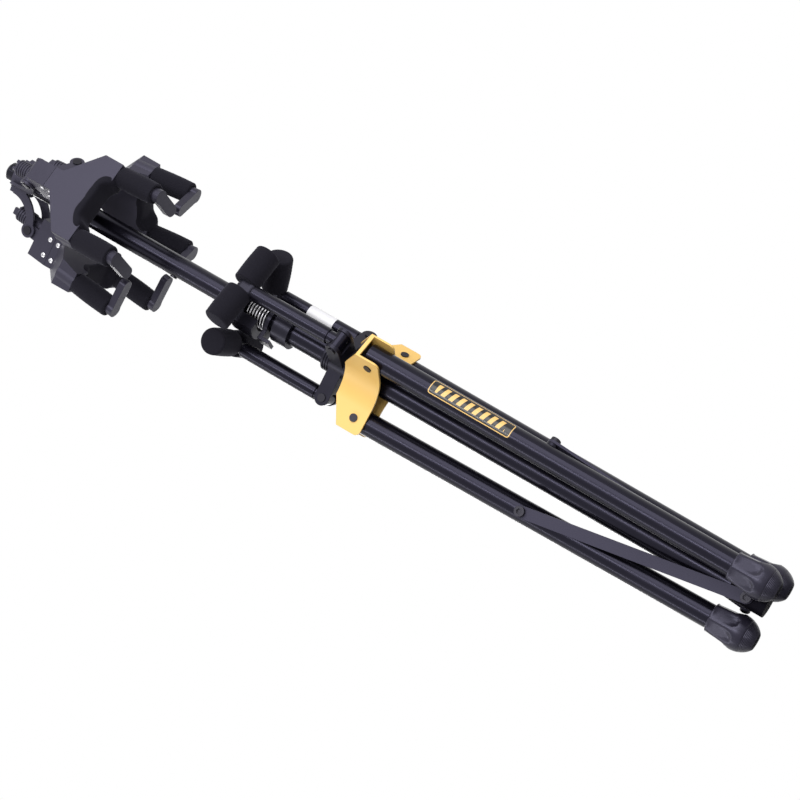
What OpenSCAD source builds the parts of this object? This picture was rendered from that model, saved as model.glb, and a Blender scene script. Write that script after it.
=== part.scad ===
// Folding floor stand for three guitars, folded up: three tube legs, three
// backrest arms and three hanging yokes stand close around one telescopic mast.
// +Z is up, the soles stand on Z = 0, and leg 1 points to -Y.
// Local frame of one sector: +X radial, +Y tangential, +Z up.

/* [Mast] */
// Outer diameter of the lower mast tube
mast_d = 28; // [27:0.5:29]
// Wall of the lower mast tube
mast_wall = 1.5; // [1.2:0.1:1.8]
// Height of the hub's lower end above the soles
mast_foot_z = 7; // [5:0.5:10]
// Height of the lower tube's upper end
mast_split_z = 600; // [590:1:610]
// Outer diameter of the upper mast tube
upper_d = 24; // [23.4:0.1:24.2]
// Wall of the upper mast tube
upper_wall = 1.5; // [1.2:0.1:2]
// Height of the upper tube's lower end inside the lower tube
upper_foot_z = 330; // [300:5:360]
// Height of the upper tube's upper end
upper_top_z = 977; // [970:1:985]
// Height of the end cap above the tube
cap_h = 15; // [10:1:20]
// Height of the stop button on the upper tube
stop_z = 746; // [720:1:770]

/* [Legs] */
// Outer diameter of a leg tube
leg_d = 25.4; // [24:0.2:25.6]
// Wall of a leg tube
leg_wall = 1.5; // [1.2:0.1:2]
// Radius of the leg pivots about the mast
leg_pivot_r = 45; // [44:0.5:47]
// Height of the leg pivots
leg_pivot_z = 476; // [470:1:480]
// Inward lean of a folded leg, in degrees
leg_lean = 0.9; // [0.5:0.1:1.2]
// Tube left above the leg pivot
leg_stub = 7; // [5:0.5:8]
// Distance from the leg pivot to the brace pivot
brace_drop = 208; // [200:1:215]
// Diameter of the leg and brace pivots
pivot_d = 6; // [5:0.5:7]
// Radial running clearance of the pivots
pivot_gap = 0.06; // [0.03:0.01:0.1]

/* [Feet] */
// Widest diameter of a rubber foot
foot_d = 39; // [37:0.5:39.5]
// Length of the foot's sleeve above its dome
foot_sleeve = 38; // [30:1:45]
// Height of the dome's centre above the flat sole
foot_centre_z = 12; // [10:0.5:14]
// Depth of the leg tube in the foot
foot_socket = 34; // [25:1:36]

/* [Braces] */
// Width of a brace bar
brace_w = 13; // [11:0.5:14]
// Thickness of a brace bar
brace_t = 3; // [2:0.5:4]
// Gap between a brace bar and the bosses it turns on
brace_gap = 0.3; // [0.2:0.05:0.5]
// Radius of the brace pivots on the hub
hub_pivot_r = 3; // [2.5:0.5:6]
// Height of the brace pivots on the hub
hub_pivot_z = 27; // [25:1:30]
// Length of the mast hub below the tube
hub_h = 40; // [38:1:46]
// Length of the hub's spigot in the tube
spigot_h = 25; // [15:1:35]
// Diameter of the bolt heads
bolt_head_d = 11; // [10:0.5:12]
// Height of the bolt heads
bolt_head_h = 4; // [3:0.5:5]

/* [Leg bracket] */
// Sheet thickness of the folded bracket
sheet = 2; // [1.5:0.25:2.25]
// Clearance between a leg tube and the sheet
ear_gap = 0.3; // [0.25:0.05:0.4]
// Height of the sheet below the leg pivot
ear_down = 14; // [12:0.5:17]
// Height of the sheet's outer ends above the leg pivot
ear_up = 14; // [13:0.5:15]
// Rise of the sheet's upper edge towards the mast
ear_rise = 16; // [13:0.5:17]
// Radius up to which the sheet keeps its full height
ear_flat = 32; // [30:1:34]
// Bend radius of the sheet between two legs
bend_r = 40; // [34:1:42]
// Height of the strap across each leg
strap_h = 4; // [3.5:0.5:5]
// Gap between a leg tube and its strap
strap_gap = 0.9; // [0.8:0.1:1.2]
// Height of the plastic block above the leg pivot
block_foot = 14.8; // [14.6:0.1:16]
// Sliding clearance of the collar on the mast
slide_gap = 0.3; // [0.2:0.05:0.5]

/* [Backrests] */
// Turn of the backrest hub against the legs, in degrees
arm_turn = -5; // [-7:0.5:0]
// Height of the backrest arm pivots
arm_pivot_z = 521; // [518:1:526]
// Radius of the backrest arm pivots
arm_pivot_r = 43.5; // [43:0.5:46]
// Outer diameter of a backrest arm tube
arm_d = 17; // [15:0.5:17.4]
// Wall of a backrest arm tube
arm_wall = 1.5; // [1.2:0.1:2]
// Height of the T bars
tbar_z = 648; // [640:1:650]
// Diameter of a T bar
tbar_d = 12; // [10:0.5:13]
// Length of a T bar with its pads
tbar_len = 96; // [90:1:100]
// Length left bare for the T fitting
tbar_bare = 11; // [10:0.5:16]
// Width of the T fitting
tee_w = 13.5; // [12:0.5:14]
// Length of the T fitting's plug in the arm tube
plug_len = 14; // [10:1:18]
// Outer diameter of the backrest foam
tbar_foam_d = 30; // [28:0.5:31]
// Height of a clevis on the backrest hub
clevis_h = 17; // [16:0.5:19]
// Height of the hub sleeve above the arm pivots
sleeve_up = 19; // [18:0.5:20]
// Cheek thickness of a clevis
clevis_cheek = 4; // [3:0.5:5]
// Clearance between a tongue and its cheeks
tongue_gap = 0.3; // [0.2:0.05:0.5]

/* [Height clutch] */
// Outer diameter of the clutch cup
clutch_d = 38; // [36:0.5:40]
// Height of the cup over the lower tube
cup_h = 14; // [10:1:18]
// Height of the clutch above the lower tube
clutch_h = 52; // [48:1:56]
// Outer diameter of the housing beside the coil
house_d = 54; // [50:0.5:56]
// Width of the housing beside the coil
house_w = 28; // [24:1:30]
// Width of the bridge behind the coil
bridge_w = 18; // [14:1:20]
// Thickness of the squeeze lever
lever_t = 5; // [4:0.5:6]
// Rest height of the lever above the lower tube
lever_rise = 12; // [9:0.5:14]
// Travel of the squeeze lever
lever_travel = 6; // [4:0.5:6]
// Reach of the lever's finger tab
lever_reach = 27; // [25:0.5:27.5]
// Width of the lever's finger tab
tab_w = 16; // [14:0.5:18]
// Length of the lever's finger tab
tab_len = 10; // [8:0.5:10]
// Wire diameter of the clutch spring
wire_d = 2; // [1.5:0.1:2.2]
// Turns of the clutch spring
turns = 7; // [5:1:8]

/* [Top hub] */
// Turn of the head and its yokes against the legs, in degrees
head_turn = -13; // [-15:0.5:0]
// Radius of the yoke hinges
fold_r = 46.5; // [46:0.5:48]
// Drop of the yoke hinges below the upper tube's end
fold_drop = 43; // [41:0.5:45]
// Outward lean of the folded yokes, in degrees
yoke_lean = 6; // [5:0.5:7]
// Diameter of the yoke hinge pins
fold_pin_d = 6; // [5:0.5:7]
// Thickness of the hub's curved side plates
plate_t = 3; // [2.5:0.25:3.5]
// Diameter of the hub around the mast
hub_d = 34; // [32:0.5:34.5]
// Depth of the hub below the upper tube's end
hub_deep = 21; // [18:0.5:22]
// Radius of the side plates' curve
plate_arc = 35; // [34:0.5:36]
// Width of a side plate along its curve
plate_w = 10; // [9:0.5:11]

/* [Yokes] */
// Width of a yoke stem
stem_w = 26; // [24:0.5:27]
// Depth of a yoke stem
stem_deep = 46; // [44:0.5:48]
// Depth of a yoke stem inward of its hinge
stem_in = 22; // [20:0.5:23]
// Distance from hinge to the stem's lower face
stem_end = 36; // [34:0.5:38]
// Diameter of the ribbed post
post_d = 19; // [17:0.5:20]
// Length of the post and its fork above the hinge
post_up = 33; // [31:0.5:33]
// Distance between the two arms of a yoke
arm_span = 84; // [82:1:88]
// Diameter of the smooth arm sockets
socket_d = 22.6; // [20:0.2:23]
// Length of the smooth arm sockets
socket_len = 24; // [21:1:26]
// Distance from hinge to the roof of the throat
throat_top = 89; // [87:0.5:91]
// Corner radius of the throat
throat_r = 14; // [12:0.5:16]
// Thickness of the foam in the throat
lining_t = 5.4; // [4:0.2:6]
// Distance from hinge to the foam on the arms
foam_start = 101; // [98:1:104]
// Length of the arm foam
foam_len = 49; // [45:1:50]
// Outer diameter of the arm foam
foam_d = 24; // [22:0.5:25]
// Diameter of an arm inside its foam
core_d = 15; // [14:0.5:16]
// Outward offset of the arms from the hinge
arm_out = 4; // [3:0.5:6]
// Diameter of the gate shafts
shaft_d = 6; // [5:0.5:7]
// Length of a gate shaft above the arm's foam
shaft_in = 20; // [16:1:22]
// Thickness of a gate
gate_t = 8; // [7:0.5:9]
// Length of a gate finger
gate_len = 38; // [34:0.5:39]
// Width of a gate finger
gate_w = 14; // [12:0.5:15]
// Drop of the loaded yoke
yoke_drop = 6; // [5:0.5:6]
// Diameter of the small screws
screw_d = 6; // [5:0.5:7]

/* [Hidden] */
$fn = 64;
e = 0.01;
// Puts the origin under the middle of the whole outline
axis_x = 0.75;
axis_y = -1.03;
black = "#1c1b20";
steel_black = "#2a2930";
plastic = "#3b3a42";
foam_black = "#18171c";
yellow = "#f2c45c";
bright = "#c9c9cc";
rubber_black = "#26252b";

mast_r = mast_d / 2;
mast_in = mast_r - mast_wall;
upper_r = upper_d / 2;
leg_r = leg_d / 2;
hole_r = pivot_d / 2 + pivot_gap;
ear_in = leg_r + ear_gap;
ear_out = ear_in + sheet;
strap_in = leg_pivot_r + leg_r + strap_gap;
strap_out = strap_in + sheet;
ear_tip_z = leg_pivot_z + ear_up;
bracket_top = ear_tip_z + ear_rise;
bracket_foot = leg_pivot_z - ear_down;
edge_slope = ear_rise / (strap_out - ear_flat);
leg_len = (leg_pivot_z - foot_centre_z) / cos(leg_lean);
foot_r = foot_d / 2;
boss_y = mast_r + 0.5;
bar_y = boss_y + brace_gap;
bar_top_x = leg_pivot_r - brace_drop * sin(leg_lean);
bar_top_z = leg_pivot_z - brace_drop * cos(leg_lean);
bar_dx = bar_top_x - hub_pivot_r;
bar_dz = bar_top_z - hub_pivot_z;
bar_len = sqrt(bar_dx * bar_dx + bar_dz * bar_dz);
bar_lean = atan2(bar_dx, bar_dz);
cheek_in = arm_d / 2 + tongue_gap;
cheek_out = cheek_in + clevis_cheek;
neck_z = clevis_h / 2 + 4.5;
sleeve_r = mast_r + 4.5;
tongue_r = clevis_h / 2 - 1;
tee_r = arm_d / 2 + 1.5;
arm_top = tbar_z - tbar_foam_d / 2 - 1;
foam_hole = 0.1;
clutch_top = mast_split_z + clutch_h;
lever_z = mast_split_z + lever_rise;
ring_h = 7;
spring_r = upper_r + 0.6 + wire_d / 2;
spring_z0 = lever_z + lever_t;
spring_z1 = clutch_top - ring_h;
hub_z = upper_top_z - hub_deep;
fold_z = upper_top_z - fold_drop;
plate_in = stem_w / 2 + 0.4;
post_x = -6;
post_r = post_d / 2;
body_x0 = -stem_in;
throat_half = (arm_span - socket_d) / 2 - 0.5;
shaft_hole = shaft_d / 2 + 0.1;
pad_t = (foam_d - socket_d) / 2;
rail_w = 8;
rail_d = 8;
split_gap = 0.3;
gate_z = foam_start + foam_len + split_gap;

// One of the three sectors of the stand, in its local frame
module sector(i) {
    translate([axis_x, axis_y, 0]) rotate([0, 0, 120 * i - 90]) children();
}

// One of the three sectors of the head, turned against the legs
module head_sector(i) {
    translate([axis_x, axis_y, 0]) rotate([0, 0, 120 * i - 90 + head_turn]) children();
}

// One of the three sectors of the backrest hub
module arm_sector(i) {
    translate([axis_x, axis_y, 0]) rotate([0, 0, 120 * i - 90 + arm_turn]) children();
}

// Parts on the mast axis
module on_axis() {
    translate([axis_x, axis_y, 0]) children();
}

// A cylinder along the local Y axis from y0 to y1
module across(x, z, y0, y1, r) {
    translate([x, y0, z]) rotate([-90, 0, 0]) cylinder(h = y1 - y0, r = r);
}

// A tube along Z
module pipe(z0, z1, r_out, r_in) {
    difference() {
        translate([0, 0, z0]) cylinder(h = z1 - z0, r = r_out);
        translate([0, 0, z0 - 1]) cylinder(h = z1 - z0 + 2, r = r_in);
    }
}

// A flat X-Z outline with thickness from y0 to y1
module slab(y0, y1) {
    translate([0, y1, 0]) rotate([90, 0, 0]) linear_extrude(y1 - y0) children();
}

// A bar with round ends between two points of the X-Z plane
module round_bar(x0, z0, x1, z1, w) {
    slope = atan2(z1 - z0, x1 - x0);
    run = norm([x1 - x0, z1 - z0]);
    translate([x0, z0]) rotate(slope) {
        circle(d = w);
        translate([run, 0]) circle(d = w);
        translate([0, -w / 2]) square([run, w]);
    }
}

// A socket head bolt along +Y, its head's seat at y
module socket_head(x, z, y) {
    difference() {
        across(x, z, y, y + bolt_head_h, bolt_head_d / 2);
        translate([x, y + bolt_head_h - 2.5, z]) rotate([-90, 30, 0])
            cylinder(h = 3, r = bolt_head_d * 0.27, $fn = 6);
    }
}

module mast_lower_tube() {
    color(black) on_axis() pipe(mast_foot_z + hub_h, mast_split_z, mast_r, mast_in);
}

// Solid hub with a spigot in the tube and one turned boss per brace
module brace_hub() {
    color(black) {
        on_axis() {
            translate([0, 0, mast_foot_z]) cylinder(h = hub_h, r = mast_r);
            translate([0, 0, mast_foot_z + hub_h - 1]) cylinder(h = spigot_h + 1, r = mast_in - 0.05);
        }
        for (i = [0:2]) sector(i) across(hub_pivot_r, hub_pivot_z, 0, boss_y, brace_w / 2);
    }
}

module mast_upper_tube() {
    color(black) on_axis() difference() {
        pipe(upper_foot_z, upper_top_z, upper_r, upper_r - upper_wall);
        stop_place() across(0, 0, -upper_r - 3, 0, 4 + pivot_gap);
    }
}

module stop_place() {
    translate([0, 0, stop_z]) rotate([0, 0, -114.5]) children();
}

// Round stop button let into the upper tube
module height_stop() {
    color(steel_black) on_axis() stop_place() across(0, 0, -upper_r - 1.6, -upper_r + upper_wall, 4);
}

module mast_cap() {
    color(black) on_axis() {
        translate([0, 0, upper_top_z]) cylinder(h = cap_h - 2, r = upper_r - 1.2);
        translate([0, 0, upper_top_z + cap_h - 2]) cylinder(h = 2, r1 = upper_r - 1.2, r2 = upper_r - 3.2);
        translate([0, 0, upper_top_z - 12]) cylinder(h = 12 + e, r = upper_r - upper_wall - 0.05);
    }
}

// Outline of one side plate: hub root, quarter ring and hinge eye
module plate_outline() {
    ring_x = fold_r - plate_arc;
    ring_z = fold_z + plate_arc;
    difference() {
        union() {
            intersection() {
                translate([fold_r, ring_z]) difference() {
                    circle(r = plate_arc + plate_w / 2);
                    circle(r = plate_arc - plate_w / 2);
                }
                translate([ring_x - plate_w, fold_z - plate_w])
                    square([plate_arc + plate_w, plate_arc + plate_w]);
            }
            translate([3, ring_z - 9]) square([ring_x + plate_w / 2 - 3.8, 14]);
            translate([3, ring_z - 17]) square([8, 22]);
            translate([fold_r, fold_z]) circle(r = 8.5);
        }
        translate([fold_r, fold_z]) circle(r = fold_pin_d / 2 + pivot_gap);
    }
}

// Hub on the mast head with a pair of side plates for each yoke
module top_hub() {
    color(steel_black) difference() {
        union() {
            on_axis() translate([0, 0, hub_z]) cylinder(h = upper_top_z - hub_z, r = hub_d / 2);
            for (i = [0:2]) head_sector(i) {
                slab(plate_in, plate_in + plate_t) plate_outline();
                slab(-plate_in - plate_t, -plate_in) plate_outline();
            }
        }
        on_axis() translate([0, 0, hub_z - 30]) cylinder(h = hub_deep + 60, r = upper_r + 0.05);
    }
}

module yoke_fold_pins() {
    reach = plate_in + plate_t;
    color(bright) for (i = [0:2]) head_sector(i) {
        across(fold_r, fold_z, -reach, reach, fold_pin_d / 2);
        across(fold_r, fold_z, reach, reach + 1.5, fold_pin_d / 2 + 2);
        across(fold_r, fold_z, -reach - 1.5, -reach, fold_pin_d / 2 + 2);
    }
}

// Plan of the three leg channels, w wide each side and x long, with bends of radius r
module channels(x, w, r) {
    mid = (w + r) / sin(60);
    for (i = [0:2]) rotate(120 * i - 90) {
        translate([0, -w]) square([x, 2 * w]);
        rotate(60) difference() {
            polygon([[0, 0], [mid - r * sin(60), -r / 2], [mid, 0], [mid - r * sin(60), r / 2]]);
            translate([mid, 0]) circle(r = r);
        }
    }
}

// What the sloping upper edge takes off from radius x outwards
module above_edge(x) {
    slab(-ear_out - 1, ear_out + 1) polygon([[x, bracket_top], [x + 60, bracket_top - 60 * edge_slope],
        [x + 60, bracket_top + 1], [x, bracket_top + 1]]);
}

// Folded sheet ring: two ears and a strap for every leg
module leg_bracket() {
    color(yellow) difference() {
        on_axis() translate([0, 0, bracket_foot]) linear_extrude(bracket_top - bracket_foot) difference() {
            channels(strap_out, ear_out, bend_r);
            channels(strap_in, ear_in, bend_r + sheet);
        }
        for (i = [0:2]) sector(i) {
            translate([strap_in - 1, -ear_in, bracket_foot - 1])
                cube([sheet + 3, 2 * ear_in, ear_tip_z - strap_h - bracket_foot + 1]);
            across(leg_pivot_r, leg_pivot_z, -ear_out - 1, ear_out + 1, hole_r);
            above_edge(ear_flat);
            ear_corner(strap_out, bracket_foot, 6);
        }
    }
}

// What rounding takes off an ear's lower outer corner
module ear_corner(x, z, r) {
    slab(-ear_out - 1, ear_out + 1) difference() {
        translate([x - r, z - 1]) square([r + 1, r + 1]);
        translate([x - r, z + r]) circle(r = r);
    }
}

// Plastic block in the bracket's upper end, sloped like the sheet
module collar_block() {
    z0 = leg_pivot_z + block_foot;
    h = bracket_top - z0;
    color(black) difference() {
        on_axis() translate([0, 0, z0]) linear_extrude(h)
            channels(ear_flat + 20, ear_in - 0.1, bend_r + sheet + 0.1);
        for (i = [0:2]) sector(i) above_edge(ear_flat - 2);
        on_axis() translate([0, 0, z0 - 1]) cylinder(h = h + 2, r = mast_r + slide_gap);
    }
}

module leg_pivot_rivets() {
    color(black) for (i = [0:2]) sector(i) {
        across(leg_pivot_r, leg_pivot_z, -ear_out, ear_out, pivot_d / 2);
        across(leg_pivot_r, leg_pivot_z, ear_out, ear_out + 1.2, pivot_d / 2 + 1.5);
        across(leg_pivot_r, leg_pivot_z, -ear_out - 1.2, -ear_out, pivot_d / 2 + 1.5);
    }
}

// Frame of a leg: origin at its pivot, -Z along the tube
module leg_frame(i) {
    sector(i) translate([leg_pivot_r, 0, leg_pivot_z]) rotate([0, leg_lean, 0]) children();
}

module leg(i) {
    color(black) leg_frame(i) difference() {
        union() {
            pipe(-leg_len + foot_sleeve - foot_socket, leg_stub, leg_r, leg_r - leg_wall);
            difference() {
                across(0, -brace_drop, 0, boss_y, brace_w / 2);
                translate([0, 0, -brace_drop - 10]) cylinder(h = 20, r = leg_r - 1);
            }
        }
        across(0, 0, -leg_r - 1, leg_r + 1, hole_r);
        across(0, -brace_drop, leg_r - 4, boss_y + 1, pivot_d / 2 + 0.02);
    }
}

// Rubber foot: flared sleeve and a dome cut flat at the floor
module foot(i) {
    color(rubber_black) difference() {
        leg_frame(i) difference() {
            union() {
                translate([0, 0, -leg_len]) cylinder(h = foot_sleeve, r1 = foot_r - 0.3, r2 = leg_r + 3);
                translate([0, 0, -leg_len]) sphere(r = foot_r);
            }
            translate([0, 0, -leg_len + foot_sleeve - foot_socket])
                cylinder(h = foot_socket + 1, r = leg_r + 0.05);
        }
        on_axis() translate([-100, -100, -40]) cube([200, 200, 40]);
    }
}

// Bolt in the leg that the brace turns on
module brace_bolt(i) {
    seat = bar_y + brace_t + 0.2;
    color(bright) leg_frame(i) {
        across(0, -brace_drop, leg_r - 3.5, seat, pivot_d / 2);
        socket_head(0, -brace_drop, seat);
    }
}

// Flat brace bar beside a leg
module brace(i) {
    color(black) sector(i) slab(bar_y, bar_y + brace_t) difference() {
        round_bar(hub_pivot_r, hub_pivot_z, bar_top_x, bar_top_z, brace_w);
        translate([bar_top_x, bar_top_z]) circle(r = hole_r);
        translate([hub_pivot_r, hub_pivot_z]) circle(r = pivot_d / 2 + 0.02);
    }
}

// Bolt at a brace's lower end, flush with the bar's inner face
module hub_bolt(i) {
    color(steel_black) sector(i) {
        across(hub_pivot_r, hub_pivot_z, bar_y, bar_y + brace_t, pivot_d / 2);
        socket_head(hub_pivot_r, hub_pivot_z, bar_y + brace_t);
    }
}

// Ribbed sleeve on the mast with a clevis for each backrest arm
module backrest_hub() {
    z0 = bracket_top;
    z1 = arm_pivot_z + sleeve_up;
    web_x = arm_pivot_r - tongue_r - 0.5;
    tip_x = arm_pivot_r + clevis_h / 2;
    color(black) difference() {
        union() {
            on_axis() {
                translate([0, 0, z0]) cylinder(h = z1 - z0 - 7, r = sleeve_r - 1);
                for (k = [0:2]) translate([0, 0, z1 - 9 + 3 * k]) {
                    cylinder(h = 2, r = sleeve_r);
                    translate([0, 0, 2 - e]) cylinder(h = 1 + 2 * e, r = sleeve_r - 1.2);
                }
            }
            for (i = [0:2]) arm_sector(i) difference() {
                slab(-cheek_out, cheek_out) {
                    translate([0, arm_pivot_z - clevis_h / 2]) square([arm_pivot_r, clevis_h]);
                    translate([tip_x - clevis_h / 2, arm_pivot_z]) circle(d = clevis_h);
                }
                translate([web_x, -cheek_in, arm_pivot_z - clevis_h])
                    cube([tip_x, 2 * cheek_in, 2 * clevis_h]);
            }
        }
        for (i = [0:2]) arm_sector(i)
            across(arm_pivot_r, arm_pivot_z, -cheek_out - 1, cheek_out + 1, hole_r);
        on_axis() translate([0, 0, z0 - 1]) cylinder(h = z1 - z0 + 2, r = mast_r + slide_gap);
    }
}

module backrest_pins() {
    color(bright) for (i = [0:2]) arm_sector(i) {
        across(arm_pivot_r, arm_pivot_z, -cheek_out, cheek_out, pivot_d / 2);
        across(arm_pivot_r, arm_pivot_z, cheek_out, cheek_out + 1.5, pivot_d / 2 + 1.5);
        across(arm_pivot_r, arm_pivot_z, -cheek_out - 1.5, -cheek_out, pivot_d / 2 + 1.5);
    }
}

// Arm tube with the tongue that turns in its clevis
module backrest_arm(i) {
    tube_z = arm_pivot_z + neck_z;
    color(black) arm_sector(i) difference() {
        union() {
            translate([arm_pivot_r, 0, 0]) pipe(tube_z, arm_top, arm_d / 2, arm_d / 2 - arm_wall);
            translate([arm_pivot_r, 0, tube_z]) cylinder(h = 12, r = arm_d / 2 - 1);
            across(arm_pivot_r, arm_pivot_z, -arm_d / 2, arm_d / 2, tongue_r);
            translate([arm_pivot_r, 0, arm_pivot_z]) cylinder(h = neck_z + 1, r = tongue_r - 0.4);
        }
        across(arm_pivot_r, arm_pivot_z, -arm_d, arm_d, hole_r);
    }
}

// T bar with its neck and the plug in the arm tube
module backrest_tbar(i) {
    color(plastic) arm_sector(i) {
        across(arm_pivot_r, tbar_z, 1 - tbar_len / 2, tbar_len / 2 - 1, tbar_d / 2);
        slab(-tbar_bare / 2 + 0.2, tbar_bare / 2 - 0.2)
            round_bar(arm_pivot_r, arm_top + tee_w / 2 + 0.15, arm_pivot_r, tbar_z, tee_w);
        translate([arm_pivot_r, 0, arm_top - plug_len])
            cylinder(h = plug_len + 2, r = arm_d / 2 - arm_wall - 0.05);
    }
}

// Two foam sleeves with closed ends
module backrest_pads(i) {
    color(foam_black) arm_sector(i) for (s = [-1, 1]) difference() {
        across(arm_pivot_r, tbar_z, s > 0 ? tbar_bare / 2 : -tbar_len / 2,
            s > 0 ? tbar_len / 2 : -tbar_bare / 2, tbar_foam_d / 2);
        across(arm_pivot_r, tbar_z, s > 0 ? 0 : 0.9 - tbar_len / 2,
            s > 0 ? tbar_len / 2 - 0.9 : 0, tbar_d / 2 + foam_hole);
    }
}

// Frame of the clutch: +X points to its housing
module clutch_frame() {
    on_axis() translate([0, 0, mast_split_z]) rotate([0, 0, 167.5]) children();
}

// Cup on the lower tube, top ring and the bridge and housing beside the coil
module clutch_body() {
    house_in = clutch_d / 2 - 1.5;
    house_z = lever_rise + lever_t + lever_travel + 2;
    color(plastic) clutch_frame() difference() {
        union() {
            translate([0, 0, -cup_h]) cylinder(h = cup_h + 6, r = clutch_d / 2);
            translate([0, 0, clutch_h - ring_h]) cylinder(h = ring_h, r = clutch_d / 2 - 1);
            intersection() {
                pipe(house_z, clutch_h, house_d / 2, house_in);
                translate([0, -house_w / 2, 0]) cube([house_d, house_w, clutch_h]);
            }
            intersection() {
                pipe(0, clutch_h, clutch_d / 2 + 3, house_in);
                translate([-clutch_d, -bridge_w / 2, 0]) cube([clutch_d, bridge_w, clutch_h]);
            }
        }
        translate([0, 0, -cup_h - 1]) cylinder(h = cup_h + 1, r = mast_r + 0.05);
        translate([0, 0, -1]) cylinder(h = clutch_h + 2, r = upper_r + 0.3);
    }
}

// Coil between the lever and the top ring
module clutch_spring() {
    steps = 16;
    sides = 8;
    count = turns * steps;
    h = spring_z1 - spring_z0 - wire_d;
    rings = [for (k = [0:count], a = [0:sides - 1])
        let (t = 360 * k / steps, w = 360 * a / sides, r = spring_r + wire_d / 2 * cos(w))
        [r * cos(t), r * sin(t), wire_d / 2 + h * k / count + wire_d / 2 * sin(w)]];
    skin = [for (k = [0:count - 1], a = [0:sides - 1])
        let (b = (a + 1) % sides, p = k * sides)
        [p + a, p + b, p + sides + b, p + sides + a]];
    first = [for (a = [0:sides - 1]) sides - 1 - a];
    last = [for (a = [0:sides - 1]) count * sides + a];
    color(bright) on_axis() translate([0, 0, spring_z0]) polyhedron(rings, concat([first], skin, [last]));
}

// Squeeze lever: ring under the spring and a bent finger tab
module clutch_lever() {
    lever_r = clutch_d / 2 - 2;
    color(black) clutch_frame() difference() {
        union() {
            translate([0, 0, lever_rise]) cylinder(h = lever_t, r = lever_r);
            translate([0, -tab_w / 2, lever_rise]) cube([lever_reach - 0.5, tab_w, lever_t]);
            translate([lever_reach - 4.5, -tab_w / 2, lever_rise - tab_len])
                cube([4, tab_w, tab_len + lever_t]);
        }
        translate([0, 0, lever_rise - 1]) cylinder(h = lever_t + 2, r = upper_r + 0.4);
    }
}

// Frame of a yoke: origin at its fold hinge, -Z to the arm ends, +X outward
module yoke_frame(i) {
    head_sector(i) translate([fold_r, 0, fold_z]) rotate([0, -yoke_lean, 0]) children();
}

// Post, hinge eye, stem block and the rail that the body drops on
module yoke_stem(i) {
    rail_x = body_x0 + 4;
    rail_len = stem_deep - yoke_drop - 9;
    fork_z = post_up - 5.5;
    ribs = 6;
    rib_h = (fork_z - 8) / ribs;
    color(plastic) yoke_frame(i) difference() {
        union() {
            translate([body_x0, -stem_w / 2, -stem_end]) cube([stem_deep, stem_w, stem_end - 11]);
            translate([-7, -stem_w / 2, -12]) cube([14, stem_w, 10]);
            across(0, 0, -stem_w / 2, stem_w / 2, 8);
            translate([post_x, 0, -13]) cylinder(h = 13 + fork_z, r = post_r - 1);
            for (k = [0:ribs - 1]) translate([post_x, 0, 8 + k * rib_h])
                cylinder(h = rib_h * 0.6, r = post_r);
            for (s = [-1, 1]) translate([post_x - 4, s * 4.5 - 1.75, fork_z - 1]) cube([8, 3.5, 6.5]);
            translate([rail_x, -rail_w / 2, -stem_end - rail_d + 3]) cube([rail_len, rail_w, rail_d - 3 + e]);
            translate([rail_x, -rail_w / 2 - 2, -stem_end - rail_d]) cube([rail_len, rail_w + 4, 3 + e]);
        }
        across(0, 0, -stem_w, stem_w, fold_pin_d / 2 + pivot_gap);
        screw_holes(-stem_end + 6);
    }
}

// Places of four screws, two on each side of the stem
module screw_places(z) {
    for (s = [0, 1], x = [-10, 10]) mirror([0, s, 0]) translate([arm_out + x, stem_w / 2, z]) children();
}

module screw_holes(z) {
    screw_places(z) rotate([90, 0, 0]) cylinder(h = 3.2, r = screw_d / 4 + 0.02);
}

module screws(z) {
    screw_places(z) rotate([90, 0, 0]) {
        cylinder(h = 3.1, r = screw_d / 4);
        translate([0, 0, -1]) cylinder(h = 1, r = screw_d / 2);
        translate([0, 0, -1.6]) cylinder(h = 0.6 + e, r1 = screw_d / 2 - 1, r2 = screw_d / 2);
    }
}

module stem_screws(i) {
    color(bright) yoke_frame(i) screws(-stem_end + 6);
}

// Arch with a flat roof at z and round corners, w wide each side, down to z0
module arch(w, r, z, z0) {
    corner = [for (a = [0:15:90]) [w - r + r * cos(a), z - r + r * sin(a)]];
    polygon(concat([[-w, z0], [w, z0]], corner, [for (k = [6:-1:0]) [-corner[k][0], corner[k][1]]]));
}

// Front outline of the wings: stem, shoulders and throat
module wing_front() {
    wing_y = (arm_span + socket_d) / 2 - 1.5;
    side_z = socket_len - foam_start;
    difference() {
        for (s = [0, 1]) mirror([s, 0]) polygon([
            [0, -stem_end - split_gap], [stem_w / 2, -stem_end - split_gap],
            [stem_w / 2, -stem_end - screw_d / 2 - 6.5], [wing_y, side_z], [wing_y, -foam_start], [0, -foam_start]]);
        arch(throat_half, throat_r, -throat_top, -foam_start - 9);
    }
}

// Side outline of the wings: as deep as the stem above, as the sockets below
module wing_side() {
    half = socket_d / 2 + 0.5;
    polygon([[body_x0, -stem_end], [body_x0 + stem_deep, -stem_end],
        [arm_out + half, -foam_start - 1], [arm_out - half, -foam_start - 1]]);
}

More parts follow.
